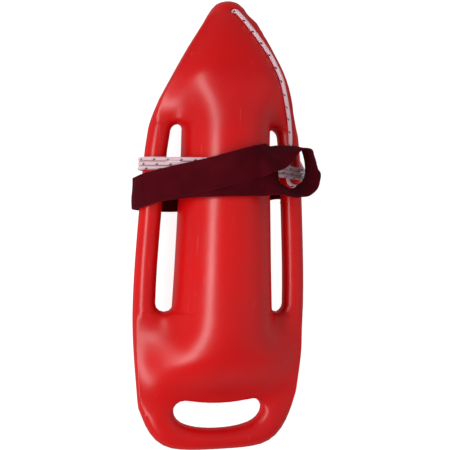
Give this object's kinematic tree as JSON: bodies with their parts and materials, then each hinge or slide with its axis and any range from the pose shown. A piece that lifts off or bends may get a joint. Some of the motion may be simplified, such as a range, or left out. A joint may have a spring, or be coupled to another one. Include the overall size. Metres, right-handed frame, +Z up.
{
  "type": "rescue can buoy",
  "caption": "Hollow moulded rescue can with side grip slots and a tail hand slot, its tow rope wound round it under a doubled webbing harness.",
  "frame": {"origin": "under the middle of the buoy without its rope, at the level of the webbing it lies on", "axes": "+Y along the hull to its nose, +Z up out of the front face, +X to the right rail"},
  "size_m": [0.3012, 0.735, 0.1834],
  "materials": {
    "red_hull": "satin gloss moulded polyethylene",
    "foam": "closed cell foam",
    "plug": "moulded",
    "rope": "braided cord with dark flecks",
    "webbing": "woven webbing"
  },
  "bodies": {
    "hull": {"hull_shell": "red_hull", "foam_core": "foam", "filling_plug": "plug", "tow_rope_run": "rope", "tow_rope_winding": "rope", "tow_rope_tail": "rope", "nose_knot": "rope"},
    "harness": {"harness_strap": "webbing", "harness_knot": "rope"}
  },
  "joints": [
    {"name": "harness_slide", "type": "slide", "parent": "hull", "child": "harness", "axis": [0, 1, 0], "range_m": [0, 0.15], "deforming": ["tow_rope_tail"]}
  ]
}
